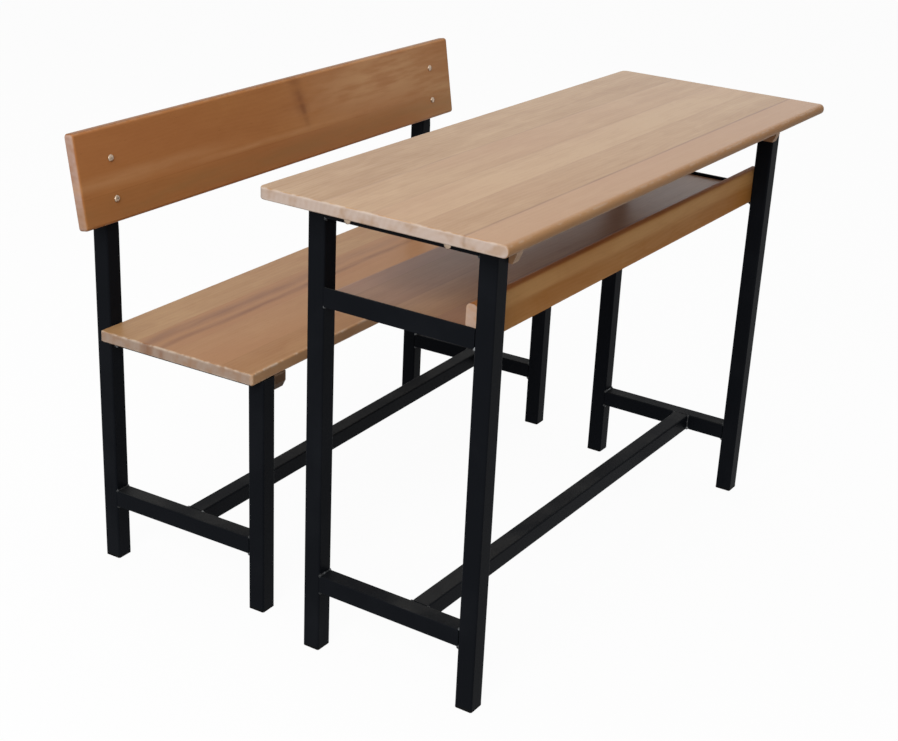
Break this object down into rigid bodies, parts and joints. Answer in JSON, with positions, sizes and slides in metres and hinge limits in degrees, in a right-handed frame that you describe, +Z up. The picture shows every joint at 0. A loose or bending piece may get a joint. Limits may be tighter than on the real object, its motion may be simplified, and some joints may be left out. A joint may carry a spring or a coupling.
{
  "type": "school desk with bench",
  "caption": "School desk with a book shelf and a separate bench with a leaning backrest, glued beech boards on black square-tube frames.",
  "frame": {"origin": "bottom centre of the box around desk and bench, on the floor", "axes": "+X along the desk top's length, +Y from the desk's lip side towards the bench, +Z up"},
  "size_m": [1.1218, 0.878, 0.76],
  "materials": {
    "pale_beech": "clear satin lacquer",
    "warm_beech": "clear satin lacquer",
    "deep_beech": "clear satin lacquer",
    "black_paint": "satin powder coat",
    "zinc_steel": "bright zinc",
    "black_plastic": "matte"
  },
  "bodies": {
    "desk": {"desk_leg_left_front": "black_paint", "desk_leg_left_rear": "black_paint", "desk_leg_right_front": "black_paint", "desk_leg_right_rear": "black_paint", "desk_top_rail_left": "black_paint", "desk_top_rail_right": "black_paint", "desk_foot_rail_left": "black_paint", "desk_foot_rail_right": "black_paint", "desk_stretcher": "black_paint", "shelf_angle_left": "black_paint", "shelf_angle_right": "black_paint", "desk_top": "pale_beech", "book_shelf": "warm_beech", "shelf_lip": "deep_beech", "desk_batten_left": "warm_beech", "desk_batten_right": "warm_beech", "desk_batten_bolts": "zinc_steel", "desk_batten_washers": "zinc_steel", "desk_batten_nuts": "zinc_steel", "desk_top_screws": "zinc_steel", "shelf_screws": "zinc_steel", "desk_foot_plugs": "black_plastic"},
    "bench": {"bench_leg_left": "black_paint", "bench_leg_right": "black_paint", "bench_post_left": "black_paint", "bench_post_right": "black_paint", "seat_rail_left": "black_paint", "seat_rail_right": "black_paint", "bench_foot_rail_left": "black_paint", "bench_foot_rail_right": "black_paint", "bench_stretcher": "black_paint", "seat_board": "warm_beech", "backrest_board": "deep_beech", "seat_batten_left": "warm_beech", "seat_batten_right": "warm_beech", "seat_batten_bolts": "zinc_steel", "seat_batten_washers": "zinc_steel", "seat_batten_nuts": "zinc_steel", "seat_screws": "zinc_steel", "backrest_bolts": "zinc_steel", "backrest_nuts": "zinc_steel", "bench_foot_plugs": "black_plastic", "post_caps": "black_plastic"}
  },
  "joints": [
    {"name": "bench_slide", "type": "slide", "parent": "desk", "child": "bench", "axis": [-0.0314, 0.9995, 0], "range_m": [-0.1, 0.3]}
  ]
}
